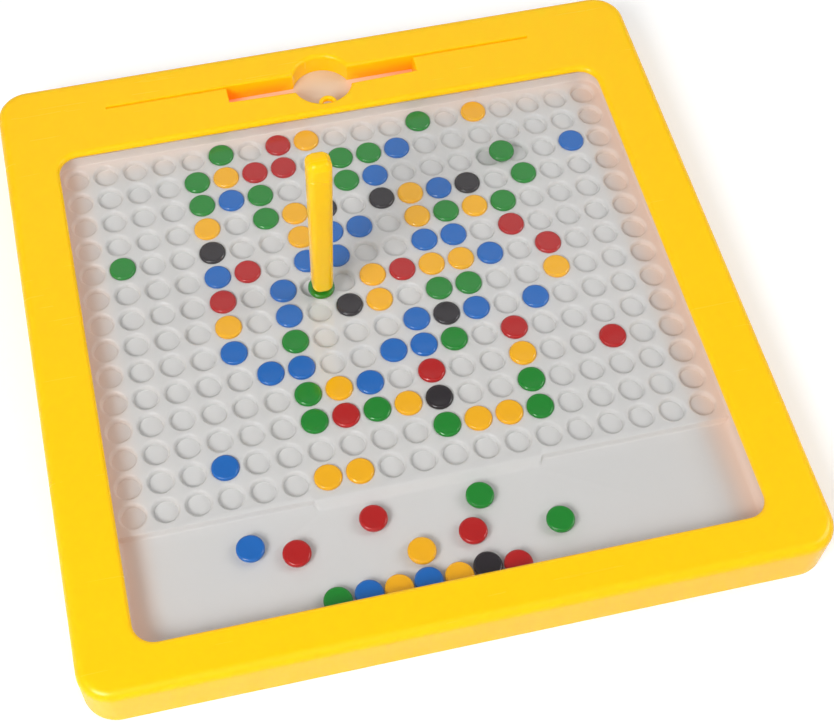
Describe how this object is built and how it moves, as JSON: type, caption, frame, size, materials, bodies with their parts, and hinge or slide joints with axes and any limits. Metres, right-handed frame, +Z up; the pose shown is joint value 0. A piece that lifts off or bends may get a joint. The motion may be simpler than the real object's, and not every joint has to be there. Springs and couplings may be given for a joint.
{
  "type": "magnetic bead drawing board",
  "caption": "Square framed drawing board: a clear window over a dimpled board, steel-cored beads between them and a magnetic pen that drags and sets the beads.",
  "frame": {"origin": "centre of the underside", "axes": "+X to the right, +Y towards the pen recess, +Z up out of the window"},
  "size_m": [0.237, 0.237, 0.0854],
  "materials": {
    "frame_yellow": "glossy moulded plastic",
    "clear_window": "clear glossy plastic sheet",
    "board_white": "satin moulded plastic",
    "screw_steel": "zinc plated",
    "magnet_steel": "nickel plated",
    "core_steel": "plain",
    "bead_green": "glossy moulded plastic",
    "bead_blue": "glossy moulded plastic",
    "bead_red": "glossy moulded plastic",
    "bead_yellow": "glossy moulded plastic",
    "bead_black": "glossy moulded plastic"
  },
  "bodies": {
    "case": {"top_frame": "frame_yellow", "window": "clear_window", "bead_board": "board_white", "back_cover": "frame_yellow", "case_screws": "screw_steel"},
    "seated_green": {"green_beads": "bead_green", "green_cores": "core_steel"},
    "seated_blue": {"blue_beads": "bead_blue", "blue_cores": "core_steel"},
    "seated_red": {"red_beads": "bead_red", "red_cores": "core_steel"},
    "seated_yellow": {"yellow_beads": "bead_yellow", "yellow_cores": "core_steel"},
    "seated_black": {"black_beads": "bead_black", "black_cores": "core_steel"},
    "dragged": {"dragged_bead": "bead_green", "dragged_core": "core_steel"},
    "pen": {"pen_barrel": "frame_yellow", "pen_cap": "frame_yellow", "pen_magnet": "magnet_steel"},
    "loose": {"loose_bead": "bead_green", "loose_core": "core_steel"},
    "tray_green_1": {"tray_green_bead_1": "bead_green", "tray_green_core_1": "core_steel"},
    "tray_green_2": {"tray_green_bead_2": "bead_green", "tray_green_core_2": "core_steel"},
    "tray_blue_1": {"tray_blue_bead_1": "bead_blue", "tray_blue_core_1": "core_steel"},
    "tray_red_1": {"tray_red_bead_1": "bead_red", "tray_red_core_1": "core_steel"},
    "tray_red_2": {"tray_red_bead_2": "bead_red", "tray_red_core_2": "core_steel"},
    "tray_red_3": {"tray_red_bead_3": "bead_red", "tray_red_core_3": "core_steel"},
    "tray_yellow_1": {"tray_yellow_bead_1": "bead_yellow", "tray_yellow_core_1": "core_steel"},
    "tray_green_3": {"tray_green_bead_3": "bead_green", "tray_green_core_3": "core_steel"},
    "tray_blue_2": {"tray_blue_bead_2": "bead_blue", "tray_blue_core_2": "core_steel"},
    "tray_yellow_2": {"tray_yellow_bead_2": "bead_yellow", "tray_yellow_core_2": "core_steel"},
    "tray_blue_3": {"tray_blue_bead_3": "bead_blue", "tray_blue_core_3": "core_steel"},
    "tray_yellow_3": {"tray_yellow_bead_3": "bead_yellow", "tray_yellow_core_3": "core_steel"},
    "tray_black_1": {"tray_black_bead_1": "bead_black", "tray_black_core_1": "core_steel"},
    "tray_red_4": {"tray_red_bead_4": "bead_red", "tray_red_core_4": "core_steel"}
  },
  "joints": [
    {"name": "green_beads_lift", "type": "slide", "parent": "case", "child": "seated_green", "axis": [0, 0, 1], "range_m": [0, 0.0031]},
    {"name": "blue_beads_lift", "type": "slide", "parent": "case", "child": "seated_blue", "axis": [0, 0, 1], "range_m": [0, 0.0031]},
    {"name": "red_beads_lift", "type": "slide", "parent": "case", "child": "seated_red", "axis": [0, 0, 1], "range_m": [0, 0.0031]},
    {"name": "yellow_beads_lift", "type": "slide", "parent": "case", "child": "seated_yellow", "axis": [0, 0, 1], "range_m": [0, 0.0031]},
    {"name": "black_beads_lift", "type": "slide", "parent": "case", "child": "seated_black", "axis": [0, 0, 1], "range_m": [0, 0.0031]},
    {"name": "pen_drag", "type": "slide", "parent": "case", "child": "dragged", "axis": [0, -1, 0], "range_m": [-0.0645, 0.1103]},
    {"name": "pen_lift", "type": "slide", "parent": "dragged", "child": "pen", "axis": [0, 0, 1], "range_m": [0, 0.08]},
    {"name": "loose_bead_slide", "type": "slide", "parent": "case", "child": "loose", "axis": [1, 0, 0], "range_m": [-0.0357, 0.0163]},
    {"name": "tray_green_1_slide", "type": "slide", "parent": "case", "child": "tray_green_1", "axis": [0, 1, 0], "range_m": [-0.0032, 0.0011]},
    {"name": "tray_green_2_slide", "type": "slide", "parent": "case", "child": "tray_green_2", "axis": [0, 1, 0], "range_m": [-0.0116, 0.0147]},
    {"name": "tray_blue_1_slide", "type": "slide", "parent": "case", "child": "tray_blue_1", "axis": [0, 1, 0], "range_m": [-0.0226, 0.007]},
    {"name": "tray_red_1_slide", "type": "slide", "parent": "case", "child": "tray_red_1", "axis": [0, 1, 0], "range_m": [-0.0152, 0.0016]},
    {"name": "tray_red_2_slide", "type": "slide", "parent": "case", "child": "tray_red_2", "axis": [0, 1, 0], "range_m": [-0.0026, 0.0032]},
    {"name": "tray_red_3_slide", "type": "slide", "parent": "case", "child": "tray_red_3", "axis": [0, 1, 0], "range_m": [-0.0147, 0.0116]},
    {"name": "tray_yellow_1_slide", "type": "slide", "parent": "case", "child": "tray_yellow_1", "axis": [0, 1, 0], "range_m": [-0.0006, 0.0152]},
    {"name": "tray_green_3_slide", "type": "slide", "parent": "case", "child": "tray_green_3", "axis": [0, 1, 0], "range_m": [0, 0.0147]},
    {"name": "tray_blue_2_slide", "type": "slide", "parent": "case", "child": "tray_blue_2", "axis": [0, 1, 0], "range_m": [0, 0.0173]},
    {"name": "tray_yellow_2_slide", "type": "slide", "parent": "case", "child": "tray_yellow_2", "axis": [0, 1, 0], "range_m": [0, 0.0152]},
    {"name": "tray_blue_3_slide", "type": "slide", "parent": "case", "child": "tray_blue_3", "axis": [0, 1, 0], "range_m": [0, 0.0006]},
    {"name": "tray_yellow_3_slide", "type": "slide", "parent": "case", "child": "tray_yellow_3", "axis": [0, 1, 0], "range_m": [0, 0.0079]},
    {"name": "tray_black_1_slide", "type": "slide", "parent": "case", "child": "tray_black_1", "axis": [0, 1, 0], "range_m": [0, 0.0025]},
    {"name": "tray_red_4_slide", "type": "slide", "parent": "case", "child": "tray_red_4", "axis": [0, 1, 0], "range_m": [0, 0.0163]}
  ]
}
